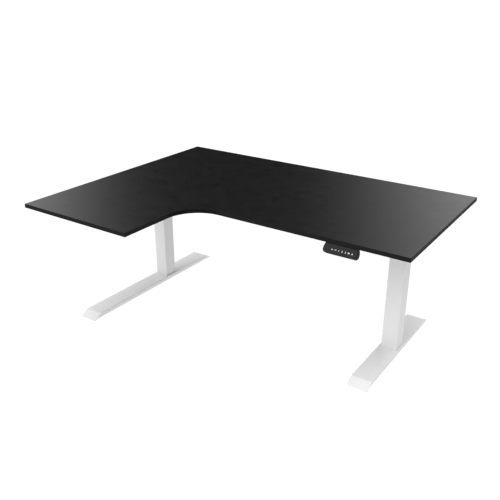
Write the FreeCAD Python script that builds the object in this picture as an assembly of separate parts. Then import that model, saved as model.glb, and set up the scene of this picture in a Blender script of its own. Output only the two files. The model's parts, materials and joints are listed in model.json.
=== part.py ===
import FreeCAD, Part
import math
import os
from collections import namedtuple

from FreeCAD import Placement, Rotation, Vector

# Height adjustable standing desk with an L-shaped top on two lifting columns.
# Millimetres. +Z is up, +X runs along the long side of the top, +Y points to its back edge.
# The origin is on the floor, under the middle of the top's bounding rectangle.
# Everything is drawn at the lowest setting, which is also where every joint reads zero.

# ---------------------------------------------------------------- driving dimensions
TOP_LENGTH = 1600.0          # along X
TOP_DEPTH = 1200.0           # along Y, over the wing
MAIN_DEPTH = 800.0           # depth of the part without the wing
WING_WIDTH = 600.0           # width of the wing, at the left end
TOP_THICKNESS = 18.0
EDGE_BAND = 1.0              # glued band all round the board
EDGE_ROUNDING = 0.8
INNER_CORNER_RADIUS = 150.0  # curve between the wing and the main part

FRAME_HEIGHT = 620.0         # floor to the underside of the board, at the lowest setting
STROKE = 650.0               # full lift of the top
COLUMN_Y = 173.0             # both columns stand on this line

FOOT_WIDTH = 92.5
FOOT_TOP = 28.0              # height of the foot's flat top face
FOOT_SHEET = 3.0
FOOT_FLANGE = 23.0           # depth of the folded side edge
FLANGE_LEAN = 5.0            # the side edge is folded past square by this much
FOOT_BACK = 477.0            # Y of the rear edge of the flat top face
BEVEL_RUN = 41.0             # sloping end of the foot, measured level
BEVEL_DROP = 23.7            # and downwards

OUTER_TUBE = 72.0
MIDDLE_TUBE = 65.0
INNER_TUBE = 58.0
OUTER_CORNER = 4.0           # corner radii
MIDDLE_CORNER = 4.0
INNER_CORNER = 4.0
OUTER_WALL = 2.0
MIDDLE_WALL = 1.8
INNER_WALL = 1.8

Leg = namedtuple("Leg", "name x inward foot_front bracket_front")
LEGS = (
    Leg("left", -706.0, 1.0, -364.5, -520.0),
    Leg("right", 629.3, -1.0, -141.0, -120.0),
)

# ---------------------------------------------------------------- levels up the column
PLATE_TOP = FOOT_TOP + 6.0            # base plate inside the foot of the outer tube
OUTER_TOP = 512.0                     # top of the outer tube
OUTER_COLLAR_TOP = OUTER_TOP + 4.0
MIDDLE_BOTTOM = 40.0
MIDDLE_TOP = 522.0
MIDDLE_COLLAR_TOP = MIDDLE_TOP + 4.0
INNER_BOTTOM = 52.0
HOUSING_BOTTOM = 535.0
HOUSING_TOP = 590.0
INNER_TOP = HOUSING_BOTTOM + 8.0      # the inner tube is let into the housing
RUNNING_GAP = 0.2                     # between a slider and the tube it runs on
COLLAR_GAP = 0.3

# ---------------------------------------------------------------- lifting screws
FIXED_SCREW_R = 6.0
FIXED_SCREW_TOP = 390.0
HOLLOW_SCREW_R = 10.0
HOLLOW_SCREW_BORE = 7.5
HOLLOW_SCREW_TOP = 460.0
THREAD_GAP = 0.05                     # plain running fit that stands for each thread
HEX_FLATS = 26.0                      # hexagonal bore of the drive tube
DRIVE_TUBE_R = 16.5
DRIVE_TUBE_BOTTOM = 84.0
WHEEL_BOTTOM = 553.0
WHEEL_TOP = 569.0
WHEEL_R = 20.0
WORM_R = 6.0
WORM_Z = (WHEEL_BOTTOM + WHEEL_TOP) / 2
WORM_OFFSET = WHEEL_R + WORM_R + 0.3  # worm axis from column axis, along Y
MOTOR_R = 23.0
MOTOR_LENGTH = 95.0
HOUSING_HALF_X = 46.0

# ---------------------------------------------------------------- rails and brackets under the top
BRACKET_WIDTH = 80.0
BRACKET_HEIGHT = 30.0
BRACKET_SHEET = 2.5
BRACKET_BACK = 520.0
RAIL_OFFSET = 70.0                    # each rail from the column line, along Y
RAIL_WIDTH = 20.0
RAIL_HEIGHT = 30.0
RAIL_TOP = FRAME_HEIGHT - 2.0
RAIL_WALL = 2.0
RAIL_PLATE = 4.0                      # welded plate at each end of a rail
RAIL_PLATE_WIDTH = 50.0

# ---------------------------------------------------------------- control box and leads
BOX_X = (60.0, 300.0)
BOX_Y = (-10.0, 75.0)
BOX_BOTTOM = 585.0
BOX_SPLIT = 612.0                     # joint between the case and the lid above it
BOX_WALL = 2.0
SOCKET_Z = 600.0
MOTOR_LEAD_R = 3.0
HANDSET_LEAD_R = 2.25
PLUG = (14.0, 14.0, 9.0)              # length, width and height of a moulded plug
CLIP_LENGTH = 10.0

# ---------------------------------------------------------------- handset
HANDSET_X = 527.5
HANDSET_TOP_Y = -194.5                # where its sloping face meets the underside of the board
FACE_RUN = 22.0                       # the face comes forward by this
FACE_DROP = 34.0                      # while it goes down by this
HANDSET_BACK_Y = -130.0
HANDSET_HALF_WIDTH = 66.0             # at the top of the face
HANDSET_BULGE = 5.5                   # extra half width lower down
HANDSET_CORNER = 12.5
HANDSET_THICKNESS = 22.0              # square to the face
HANDSET_WALL = 2.0
HANDSET_FLANGE = 6.0                  # flat part screwed to the board
FASCIA_THICKNESS = 1.5
RIM = 3.0
KEY_PITCH = 13.8
KEY_SHIFT = 8.5                       # the row of keys sits off centre, towards the right
KEY_SIZE = (11.0, 10.0)
KEY_PROUD = 0.3
KEY_TRAVEL = 0.5
KEY_GAP = 0.15
KEYS = ("up", "down", "one", "two", "three", "memory", "lock")

# ---------------------------------------------------------------- fasteners
BOLT_R = 3.0
BOLT_GAP = 0.1
FOOT_SCREW_R = 4.0
FOOT_SCREW_PITCH = 40.0
WOOD_SCREW_R = 1.9
WOOD_SCREW_DEPTH = 12.0
WOOD_SCREW_HEAD_R = 4.0
WOOD_SCREW_HEAD = 2.5


# ---------------------------------------------------------------- small helpers
def box(x, y, z):
    """Block between two limits along each axis, given in either order."""
    low = Vector(min(x), min(y), min(z))
    high = Vector(max(x), max(y), max(z))
    size = high - low
    return Part.makeBox(size.x, size.y, size.z, low)


def rod(radius, start, end):
    """Round bar between two points."""
    return Part.makeCylinder(radius, (end - start).Length, start, end - start)


def upright(radius, x, y, z):
    """Round bar standing between two heights."""
    return rod(radius, Vector(x, y, min(z)), Vector(x, y, max(z)))


def prism(points, direction):
    """Flat outline pushed along a direction."""
    return Part.Face(Part.makePolygon(points + points[:1])).extrude(direction)


def rounded_bar(x, y, width, depth, radius, z):
    """Upright bar of rectangular section with rounded corners, centred on (x, y)."""
    bar = box((x - width / 2, x + width / 2), (y - depth / 2, y + depth / 2), z)
    corners = [edge for edge in bar.Edges if abs(edge.tangentAt(edge.FirstParameter).z) > 0.9]
    return bar.makeFillet(radius, corners)


def square_bar(x, side, radius, z):
    """Rounded square bar on the column line."""
    return rounded_bar(x, COLUMN_Y, side, side, radius, z)


def square_tube(x, side, wall, radius, z):
    hollow = square_bar(x, side - 2 * wall, radius - wall, z)
    return square_bar(x, side, radius, z).cut(hollow)


def hexagon(x, flats, z):
    """Upright hexagonal bar on the column line."""
    reach = flats / math.sqrt(3.0)
    points = []
    for step in range(6):
        angle = math.radians(60.0 * step)
        points.append(Vector(x + reach * math.cos(angle), COLUMN_Y + reach * math.sin(angle), min(z)))
    return prism(points, Vector(0, 0, max(z) - min(z)))


def inward(leg, near, far):
    """X limits measured from a column towards the middle of the desk."""
    return leg.x + leg.inward * near, leg.x + leg.inward * far


def save(node, *solids):
    """Write one sub-part, of one solid or of several separate ones."""
    shape = solids[0] if len(solids) == 1 else Part.makeCompound(list(solids))
    assert shape.isValid(), node
    shape.exportStep(os.path.join("parts", node + ".step"))
    print(node, len(shape.Solids), round(shape.Volume / 1000.0, 2), "cm3")


# ---------------------------------------------------------------- feet
def foot(leg):
    """Folded sheet foot: flat top, side edges and a sloping plate at each end."""
    slope = math.atan2(BEVEL_DROP, BEVEL_RUN)
    shift = FOOT_SHEET * math.tan(slope / 2)
    tip = FOOT_TOP - BEVEL_DROP
    lower = FOOT_TOP - FOOT_SHEET
    sink = FOOT_SHEET * math.cos(slope)
    draw = FOOT_SHEET * math.sin(slope)
    half = FOOT_WIDTH / 2
    front, back = leg.foot_front, FOOT_BACK
    section = [
        Vector(-half, front - BEVEL_RUN, tip),
        Vector(-half, front, FOOT_TOP),
        Vector(-half, back, FOOT_TOP),
        Vector(-half, back + BEVEL_RUN, tip),
        Vector(-half, back + BEVEL_RUN - draw, tip - sink),
        Vector(-half, back - shift, lower),
        Vector(-half, front + shift, lower),
        Vector(-half, front - BEVEL_RUN + draw, tip - sink),
    ]
    sheet = prism(section, Vector(FOOT_WIDTH, 0, 0))
    flanges = [foot_flange(leg, side) for side in (-1.0, 1.0)]
    folded = sheet.fuse(flanges).removeSplitter()
    middle = (front + back) / 2
    length = back - front + 2 * BEVEL_RUN
    trim = rounded_bar(0, middle, FOOT_WIDTH, length, 9.0, (0.0, FOOT_TOP))
    folded = folded.common(trim)
    folds = [line for line in folded.Edges if is_long_top_edge(line, half, back - front)]
    folded = folded.makeFillet(2.0, folds)
    folded.translate(Vector(leg.x, 0, 0))
    for x, y in foot_screw_places(leg):
        folded = folded.cut(upright(FOOT_SCREW_R + BOLT_GAP, x, y, (lower, FOOT_TOP)))
    return folded


def foot_flange(leg, side):
    """Side edge of the foot, leaning inwards and ending on the slope of the end plates."""
    half = FOOT_WIDTH / 2
    edge = FOOT_TOP - FOOT_FLANGE
    run = BEVEL_RUN * FOOT_FLANGE / BEVEL_DROP
    front, back = leg.foot_front, FOOT_BACK
    outline = [
        Vector(-half, front - run, edge),
        Vector(-half, front, FOOT_TOP),
        Vector(-half, back, FOOT_TOP),
        Vector(-half, back + run, edge),
    ]
    leaning = [
        Vector(side * half, front - run, FOOT_TOP),
        Vector(side * (half - FLANGE_LEAN), front - run, edge),
        Vector(side * (half - FLANGE_LEAN - FOOT_SHEET), front - run, edge),
        Vector(side * (half - FOOT_SHEET), front - run, FOOT_TOP),
    ]
    strip = prism(leaning, Vector(0, back - front + 2 * run, 0))
    return strip.common(prism(outline, Vector(FOOT_WIDTH, 0, 0)))


def is_long_top_edge(line, half, length):
    box_of = line.BoundBox
    on_side = abs(abs(box_of.Center.x) - half) < 0.01
    return on_side and abs(box_of.Center.z - FOOT_TOP) < 0.01 and abs(box_of.YLength - length) < 0.5


def foot_screw_places(leg):
    half = FOOT_SCREW_PITCH / 2
    return [(leg.x + dx, COLUMN_Y + dy) for dx in (-half, half) for dy in (-half, half)]


RIB_WIDTH = 66.0
RIB_SHEET = 2.5
RIB_BOTTOM = 9.0
GLIDE_INSET = 42.0       # glide from the end of the foot's flat top face
GLIDE_STUD_R = 4.0
GLIDE_PAD_R = 19.0
GLIDE_PAD = 7.0
GLIDE_STUD_TOP = 24.5
WELD_NUT_R = 8.0
WELD_NUT = 6.5


def glide_places(leg):
    return [(leg.x, leg.foot_front + GLIDE_INSET), (leg.x, FOOT_BACK - GLIDE_INSET)]


def foot_rib(leg):
    """Channel welded under the foot, with a weld nut for each levelling glide."""
    top = FOOT_TOP - FOOT_SHEET
    half = RIB_WIDTH / 2
    y = (leg.foot_front + 6.0, FOOT_BACK - 6.0)
    rib = box((leg.x - half, leg.x + half), y, (RIB_BOTTOM, top))
    room = half - RIB_SHEET
    rib = rib.cut(box((leg.x - room, leg.x + room), y, (RIB_BOTTOM, top - RIB_SHEET)))
    nut_z = (top - RIB_SHEET - WELD_NUT, top - RIB_SHEET)
    for x, y in glide_places(leg):
        rib = rib.fuse(upright(WELD_NUT_R, x, y, nut_z))
        rib = rib.cut(upright(GLIDE_STUD_R + THREAD_GAP, x, y, (nut_z[0], top)))
    for x, y in foot_screw_places(leg):
        rib = rib.cut(upright(FOOT_SCREW_R + BOLT_GAP, x, y, (RIB_BOTTOM, top)))
    return rib


def glide(x, y):
    """Levelling glide: moulded pad on a threaded stud."""
    pad = upright(GLIDE_PAD_R, x, y, (0, GLIDE_PAD))
    rims = [edge for edge in pad.Edges if edge.Closed]
    pad = pad.makeChamfer(1.2, rims)
    return pad.fuse(upright(GLIDE_STUD_R, x, y, (GLIDE_PAD, GLIDE_STUD_TOP)))


def base_plate(leg):
    """Plate welded inside the bottom of the outer tube."""
    side = OUTER_TUBE - 2 * OUTER_WALL
    plate = square_bar(leg.x, side, OUTER_CORNER - OUTER_WALL, (FOOT_TOP, PLATE_TOP))
    for x, y in foot_screw_places(leg):
        plate = plate.cut(upright(FOOT_SCREW_R + BOLT_GAP, x, y, (FOOT_TOP, PLATE_TOP)))
    return plate


def foot_screw(x, y):
    head_top = FOOT_TOP - FOOT_SHEET - RIB_SHEET
    head = upright(6.5, x, y, (head_top - 4.0, head_top))
    key = upright(2.5, x, y, (head_top - 4.0, head_top - 1.5))
    return head.fuse(upright(FOOT_SCREW_R, x, y, (head_top, PLATE_TOP))).cut(key)


# ---------------------------------------------------------------- column tubes and guides
def outer_tube(leg):
    return square_tube(leg.x, OUTER_TUBE, OUTER_WALL, OUTER_CORNER, (FOOT_TOP, OUTER_TOP))


def middle_tube(leg):
    return square_tube(leg.x, MIDDLE_TUBE, MIDDLE_WALL, MIDDLE_CORNER, (MIDDLE_BOTTOM, MIDDLE_TOP))


def inner_tube(leg):
    return square_tube(leg.x, INNER_TUBE, INNER_WALL, INNER_CORNER, (INNER_BOTTOM, INNER_TOP))


def collar(leg, tube, radius, tube_top, skirt, inside):
    """Moulded ring on a tube's end, closing the gap to the tube that slides in it."""
    lip = 1.2
    ring = square_bar(leg.x, tube + 2 * lip, radius + lip, (tube_top - skirt, tube_top + 4.0))
    ring = ring.cut(square_bar(leg.x, tube, radius, (tube_top - skirt, tube_top)))
    opening = square_bar(leg.x, inside + 2 * COLLAR_GAP, radius, (tube_top, tube_top + 4.0))
    return ring.cut(opening)


def sliders(leg, near, far, z):
    """Four flat pads round the column, one on each side, between two half widths."""
    pads = []
    half = 20.0
    for side in range(4):
        pad = box((leg.x + near, leg.x + far), (COLUMN_Y - half, COLUMN_Y + half), z)
        pad.rotate(Vector(leg.x, COLUMN_Y, 0), Vector(0, 0, 1), 90.0 * side)
        pads.append(pad)
    return pads


def outer_sliders(leg):
    wall = OUTER_TUBE / 2 - OUTER_WALL
    return sliders(leg, MIDDLE_TUBE / 2 + RUNNING_GAP, wall, (452.0, 502.0))


def middle_sliders(leg):
    """Pads outside the lower end and inside the upper end of the middle tube."""
    outer_wall = OUTER_TUBE / 2 - OUTER_WALL
    own_wall = MIDDLE_TUBE / 2 - MIDDLE_WALL
    low = sliders(leg, MIDDLE_TUBE / 2, outer_wall - RUNNING_GAP, (44.0, 104.0))
    high = sliders(leg, INNER_TUBE / 2 + RUNNING_GAP, own_wall, (462.0, 512.0))
    return low + high


def inner_sliders(leg):
    wall = MIDDLE_TUBE / 2 - MIDDLE_WALL
    return sliders(leg, INNER_TUBE / 2, wall - RUNNING_GAP, (56.0, 116.0))


# ---------------------------------------------------------------- lifting screws
SCREW_NUT_R = 12.0
SCREW_NUT_FLANGE_R = 15.0
BEARING_THICKNESS = 8.0


def fixed_screw(leg):
    """Screw that stands still on the base plate."""
    screw = upright(FIXED_SCREW_R, leg.x, COLUMN_Y, (PLATE_TOP, FIXED_SCREW_TOP))
    ends = [edge for edge in screw.Edges if edge.Closed and edge.BoundBox.ZMin > PLATE_TOP + 1]
    return screw.makeChamfer(1.0, ends)


def middle_bearing(leg):
    """Plate across the bottom of the middle tube that carries it on the screw nut."""
    side = MIDDLE_TUBE - 2 * MIDDLE_WALL
    z = (MIDDLE_BOTTOM, MIDDLE_BOTTOM + BEARING_THICKNESS)
    plate = square_bar(leg.x, side, MIDDLE_CORNER - MIDDLE_WALL, z)
    return plate.cut(upright(SCREW_NUT_R + THREAD_GAP, leg.x, COLUMN_Y, z))


def screw_nut(leg):
    """Nut on the fixed screw, flanged below the middle tube's bearing plate."""
    flange = upright(SCREW_NUT_FLANGE_R, leg.x, COLUMN_Y, (MIDDLE_BOTTOM - 4.0, MIDDLE_BOTTOM - 0.1))
    body = upright(SCREW_NUT_R, leg.x, COLUMN_Y, (MIDDLE_BOTTOM - 0.1, INNER_BOTTOM))
    bore = upright(FIXED_SCREW_R + THREAD_GAP, leg.x, COLUMN_Y, (MIDDLE_BOTTOM - 4.0, INNER_BOTTOM))
    return flange.fuse(body).cut(bore)


def hollow_screw(leg):
    """Hollow screw on the nut, with a hexagonal head that slides in the drive tube."""
    z = (INNER_BOTTOM, HOLLOW_SCREW_TOP)
    head_z = (HOLLOW_SCREW_TOP - 20.0, HOLLOW_SCREW_TOP)
    screw = upright(HOLLOW_SCREW_R, leg.x, COLUMN_Y, z)
    screw = screw.fuse(hexagon(leg.x, HEX_FLATS - 2 * RUNNING_GAP, head_z))
    return screw.cut(upright(HOLLOW_SCREW_BORE, leg.x, COLUMN_Y, z))


def lift_nut(leg):
    """Nut at the bottom of the inner tube, on the hollow screw's outer thread."""
    side = INNER_TUBE - 2 * INNER_WALL
    bottom = INNER_BOTTOM + 2.0
    flange = square_bar(leg.x, side, INNER_CORNER - INNER_WALL, (bottom, bottom + 8.0))
    barrel = upright(15.0, leg.x, COLUMN_Y, (bottom + 8.0, DRIVE_TUBE_BOTTOM - 4.0))
    bore = upright(HOLLOW_SCREW_R + THREAD_GAP, leg.x, COLUMN_Y, (bottom, DRIVE_TUBE_BOTTOM))
    return flange.fuse(barrel).cut(bore)


def drive_tube(leg):
    """Tube with a hexagonal bore that turns the hollow screw."""
    z = (DRIVE_TUBE_BOTTOM, WHEEL_BOTTOM)
    return upright(DRIVE_TUBE_R, leg.x, COLUMN_Y, z).cut(hexagon(leg.x, HEX_FLATS, z))


WHEEL_TEETH = 30
JOURNAL_R = 6.0
JOURNAL_TOP = 581.0


def worm_wheel(leg):
    """Toothed wheel fixed on top of the drive tube, with a journal above it."""
    wheel = upright(WHEEL_R, leg.x, COLUMN_Y, (WHEEL_BOTTOM, WHEEL_TOP))
    gaps = []
    for tooth in range(WHEEL_TEETH):
        angle = math.radians(360.0 * (tooth + 0.5) / WHEEL_TEETH)
        x = leg.x + WHEEL_R * math.cos(angle)
        y = COLUMN_Y + WHEEL_R * math.sin(angle)
        gaps.append(upright(1.1, x, y, (WHEEL_BOTTOM, WHEEL_TOP)))
    wheel = wheel.cut(gaps)
    return wheel.fuse(upright(JOURNAL_R, leg.x, COLUMN_Y, (WHEEL_TOP, JOURNAL_TOP)))


def worm(leg):
    """Worm on the end of the motor shaft."""
    y = COLUMN_Y + WORM_OFFSET
    near, far = inward(leg, -14.0, 14.0)
    thread = rod(WORM_R, Vector(near, y, WORM_Z), Vector(far, y, WORM_Z))
    shaft = rod(3.0, Vector(far, y, WORM_Z), Vector(inward(leg, 0, HOUSING_HALF_X)[1], y, WORM_Z))
    return thread.fuse(shaft)


# ---------------------------------------------------------------- gear housing and motor
def gear_housing(leg):
    """Cast head of the column: gear case, socket for the inner tube and block for the bracket."""
    x = inward(leg, -HOUSING_HALF_X, HOUSING_HALF_X)
    y_front, y_back = COLUMN_Y - 40.0, COLUMN_Y + 42.0
    middle = (y_front + y_back) / 2
    case = rounded_bar(leg.x, middle, 2 * HOUSING_HALF_X, y_back - y_front, 6.0,
                       (HOUSING_BOTTOM, HOUSING_TOP))
    case = case.fuse(bracket_block(leg))
    column_axis = (leg.x, COLUMN_Y)
    socket = square_bar(leg.x, INNER_TUBE + 2 * BOLT_GAP, INNER_CORNER, (HOUSING_BOTTOM, INNER_TOP))
    neck = upright(DRIVE_TUBE_R + 0.5, *column_axis, (INNER_TOP, WHEEL_BOTTOM))
    wheel_room = upright(WHEEL_R + 2.0, *column_axis, (WHEEL_BOTTOM - 1.0, WHEEL_TOP + 1.0))
    bearing = upright(JOURNAL_R + THREAD_GAP, *column_axis, (WHEEL_TOP, JOURNAL_TOP + 1.0))
    worm_y = COLUMN_Y + WORM_OFFSET
    worm_room = rod(WORM_R + 1.5, Vector(inward(leg, -18.0, 0)[0], worm_y, WORM_Z),
                    Vector(max(x) if leg.inward > 0 else min(x), worm_y, WORM_Z))
    case = case.cut([socket, neck, wheel_room, bearing, worm_room])
    return case.cut([bolt_hole(place) for place in head_bolt_places(leg)])


def bracket_block(leg):
    """Raised block that fills the side bracket's channel over the column."""
    half = BRACKET_WIDTH / 2 - BRACKET_SHEET - 1.0
    top = FRAME_HEIGHT - BRACKET_SHEET
    return box((leg.x - half, leg.x + half), (COLUMN_Y - 40.0, COLUMN_Y + 40.0), (HOUSING_TOP - 5.0, top))


def head_bolt_places(leg):
    return [Vector(leg.x + dx, COLUMN_Y + dy, FRAME_HEIGHT) for dx in (-24.0, 24.0) for dy in (-28.0, 28.0)]


HEAD_BOLT_LENGTH = 20.0
HEAD_BOLT_HEAD_R = 5.7


def head_bolt(place, gap=0.0):
    """Countersunk bolt, flush with the bracket's top face."""
    head_bottom = place.z - BRACKET_SHEET
    cone = Part.makeCone(BOLT_R + gap, HEAD_BOLT_HEAD_R + gap, BRACKET_SHEET,
                         Vector(place.x, place.y, head_bottom))
    return cone.fuse(upright(BOLT_R + gap, place.x, place.y, (place.z - HEAD_BOLT_LENGTH, head_bottom)))


def bolt_hole(place):
    return head_bolt(place, BOLT_GAP)


def motor(leg):
    """Closed motor with its flange against the gear housing and a ribbed end cap."""
    y = COLUMN_Y + WORM_OFFSET

    def at(distance):
        return Vector(inward(leg, 0, HOUSING_HALF_X + distance)[1], y, WORM_Z)

    flange = rod(MOTOR_R + 1.5, at(0), at(5.0))
    can = rod(MOTOR_R - 0.5, at(5.0), at(MOTOR_LENGTH - 14.0))
    cap = rod(MOTOR_R, at(MOTOR_LENGTH - 14.0), at(MOTOR_LENGTH))
    shell = flange.fuse([can, cap])
    for distance in (MOTOR_LENGTH - 11.0, MOTOR_LENGTH - 8.0, MOTOR_LENGTH - 5.0):
        groove = rod(MOTOR_R + 1.0, at(distance), at(distance + 1.0))
        shell = shell.cut(groove.cut(rod(MOTOR_R - 0.8, at(distance), at(distance + 1.0))))
    return shell


# ---------------------------------------------------------------- brackets and rails
def side_bracket(leg):
    """Folded channel, open downwards, that carries the board along Y."""
    half = BRACKET_WIDTH / 2
    y = (leg.bracket_front, BRACKET_BACK)
    bottom = FRAME_HEIGHT - BRACKET_HEIGHT
    channel = box((leg.x - half, leg.x + half), y, (bottom, FRAME_HEIGHT))
    length = BRACKET_BACK - leg.bracket_front
    folds = [e for e in channel.Edges if abs(e.BoundBox.YLength - length) < 0.1 and e.BoundBox.ZMin > bottom + 1]
    channel = channel.makeFillet(BRACKET_SHEET, folds)
    room = half - BRACKET_SHEET
    channel = channel.cut(box((leg.x - room, leg.x + room), y, (bottom, FRAME_HEIGHT - BRACKET_SHEET)))
    channel = channel.cut([bolt_hole(place) for place in head_bolt_places(leg)])
    channel = channel.cut([rail_bolt(leg, y_bolt, BOLT_GAP) for y_bolt in rail_bolt_lines()])
    holes = []
    for place in bracket_screw_places(leg):
        holes.append(upright(WOOD_SCREW_R + BOLT_GAP, place.x, place.y, (bottom, FRAME_HEIGHT)))
    return channel.cut(holes)


def bracket_screw_places(leg):
    """Wood screws in pairs along the bracket, clear of the column's head."""
    first = leg.bracket_front + 30.0
    last = BRACKET_BACK - 30.0
    spaces = max(2, round((last - first) / 260.0))
    places = []
    for step in range(spaces + 1):
        y = first + (last - first) * step / spaces
        if abs(y - COLUMN_Y) > 60.0:
            places += [Vector(leg.x + dx, y, FRAME_HEIGHT - BRACKET_SHEET) for dx in (-25.0, 25.0)]
    return places


def rail_lines():
    return [COLUMN_Y - RAIL_OFFSET, COLUMN_Y + RAIL_OFFSET]


def rail_bolt_lines():
    return [line + dy for line in rail_lines() for dy in (-17.5, 17.5)]


def rail(y):
    """Box rail between the two brackets, with a welded plate at each end."""
    left, right = LEGS
    x0 = left.x + BRACKET_WIDTH / 2
    x1 = right.x - BRACKET_WIDTH / 2
    z = (RAIL_TOP - RAIL_HEIGHT, RAIL_TOP)
    half = RAIL_WIDTH / 2
    tube = box((x0, x1), (y - half, y + half), z)
    hollow = box((x0 + RAIL_PLATE, x1 - RAIL_PLATE), (y - half + RAIL_WALL, y + half - RAIL_WALL),
                 (z[0] + RAIL_WALL, z[1] - RAIL_WALL))
    plate_half = RAIL_PLATE_WIDTH / 2
    plate_z = (FRAME_HEIGHT - BRACKET_HEIGHT, RAIL_TOP)
    ends = []
    for start, end in ((x0, x0 + RAIL_PLATE), (x1 - RAIL_PLATE, x1)):
        ends.append(box((start, end), (y - plate_half, y + plate_half), plate_z))
    beam = tube.cut(hollow).fuse(ends)
    vent = upright(3.0, (x0 + x1) / 2, y, (z[0], z[0] + RAIL_WALL))
    beam = beam.cut(vent)
    for leg in LEGS:
        for y_bolt in (y - 17.5, y + 17.5):
            beam = beam.cut(rail_bolt(leg, y_bolt, BOLT_GAP))
    return beam


def rail_bolt(leg, y, gap=0.0):
    """Button head bolt through the bracket's inner side into the rail's end plate."""
    z = RAIL_TOP - RAIL_HEIGHT / 2
    inside = BRACKET_WIDTH / 2 - BRACKET_SHEET

    def at(distance):
        return Vector(inward(leg, 0, distance)[1], y, z)

    head = rod(5.0 + gap, at(inside - 3.0), at(inside))
    return head.fuse(rod(BOLT_R + gap, at(inside), at(inside + BRACKET_SHEET + RAIL_PLATE)))


# ---------------------------------------------------------------- board
def board_outline(inset, z):
    """L outline at one height, drawn a little inside the finished size."""
    left = -TOP_LENGTH / 2 + inset
    right = TOP_LENGTH / 2 - inset
    back = TOP_DEPTH / 2 - inset
    front = -TOP_DEPTH / 2 + inset
    main_front = TOP_DEPTH / 2 - MAIN_DEPTH + inset
    wing_right = -TOP_LENGTH / 2 + WING_WIDTH - inset
    radius = INNER_CORNER_RADIUS + inset
    centre = Vector(wing_right + radius, main_front - radius, z)
    diagonal = radius * math.sqrt(0.5)
    curve_start = Vector(wing_right, main_front - radius, z)
    curve_middle = centre + Vector(-diagonal, diagonal, 0)
    curve_end = Vector(wing_right + radius, main_front, z)
    corners = [
        curve_end,
        Vector(right, main_front, z),
        Vector(right, back, z),
        Vector(left, back, z),
        Vector(left, front, z),
        Vector(wing_right, front, z),
        curve_start,
    ]
    edges = [Part.LineSegment(a, b).toShape() for a, b in zip(corners, corners[1:])]
    edges.append(Part.Arc(curve_start, curve_middle, curve_end).toShape())
    return Part.Face(Part.Wire(edges))


def board():
    core = board_outline(EDGE_BAND, FRAME_HEIGHT).extrude(Vector(0, 0, TOP_THICKNESS))
    holes = []
    for place in wood_screw_places():
        top = FRAME_HEIGHT + WOOD_SCREW_DEPTH
        holes.append(upright(WOOD_SCREW_R + BOLT_GAP, place.x, place.y, (FRAME_HEIGHT, top)))
    return core.cut(holes)


def edge_band():
    """Band round the board's edge, its two outside corners rounded off."""
    full = board_outline(0.0, FRAME_HEIGHT).extrude(Vector(0, 0, TOP_THICKNESS))
    level = [edge for edge in full.Edges if edge.BoundBox.ZLength < 0.1]
    full = full.makeFillet(EDGE_ROUNDING, level)
    return full.cut(board_outline(EDGE_BAND, FRAME_HEIGHT).extrude(Vector(0, 0, TOP_THICKNESS)))


def wood_screw(place):
    """Pan head screw from below; the place is where its head bears."""
    head = upright(WOOD_SCREW_HEAD_R, place.x, place.y, (place.z - WOOD_SCREW_HEAD, place.z))
    rim = [edge for edge in head.Edges if edge.Closed and edge.BoundBox.ZMax < place.z - 1]
    head = head.makeFillet(1.2, rim)
    tip = FRAME_HEIGHT + WOOD_SCREW_DEPTH
    shank = upright(WOOD_SCREW_R, place.x, place.y, (place.z, tip - 3.0))
    point = Part.makeCone(WOOD_SCREW_R, 0.4, 3.0, Vector(place.x, place.y, tip - 3.0))
    return head.fuse([shank, point])


def wood_screw_places():
    places = [place for leg in LEGS for place in bracket_screw_places(leg)]
    places += box_screw_places() + handset_screw_places() + clip_screw_places()
    return places


# ---------------------------------------------------------------- control box
EAR = 14.0               # screw ears at each end of the lid
EAR_THICKNESS = 3.0
INLET_Y = 55.0
LEFT_PLUG_Y = 20.0
RIGHT_PLUG_Y = 50.0
HANDSET_PLUG_Y = 15.0


def plug_slot(x_wall, y):
    """Hole in an end wall for one plug."""
    half = PLUG[1] / 2 + BOLT_GAP
    z = (SOCKET_Z - PLUG[2] / 2 - BOLT_GAP, SOCKET_Z + PLUG[2] / 2 + BOLT_GAP)
    return box((x_wall - BOX_WALL - 1.0, x_wall + BOX_WALL + 1.0), (y - half, y + half), z)


def control_case():
    """Lower shell, open at the top, with holes for the plugs and the mains inlet."""
    middle_x = sum(BOX_X) / 2
    middle_y = sum(BOX_Y) / 2
    length = BOX_X[1] - BOX_X[0]
    width = BOX_Y[1] - BOX_Y[0]
    shell = rounded_bar(middle_x, middle_y, length, width, 6.0, (BOX_BOTTOM, BOX_SPLIT))
    bottom_rim = [e for e in shell.Edges if e.BoundBox.ZMax < BOX_BOTTOM + 0.1]
    shell = shell.makeFillet(2.0, bottom_rim)
    room = rounded_bar(middle_x, middle_y, length - 2 * BOX_WALL, width - 2 * BOX_WALL, 4.0,
                       (BOX_BOTTOM + BOX_WALL, BOX_SPLIT))
    shell = shell.cut(room)
    slots = [plug_slot(BOX_X[0], LEFT_PLUG_Y), plug_slot(BOX_X[1], RIGHT_PLUG_Y)]
    slots += [plug_slot(BOX_X[1], HANDSET_PLUG_Y), inlet_block(BOLT_GAP)]
    for step in range(9):
        x = middle_x - 48.0 + 12.0 * step
        slots.append(box((x - 1.5, x + 1.5), (20.0, 45.0), (BOX_BOTTOM, BOX_BOTTOM + BOX_WALL)))
    return shell.cut(slots)


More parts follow.
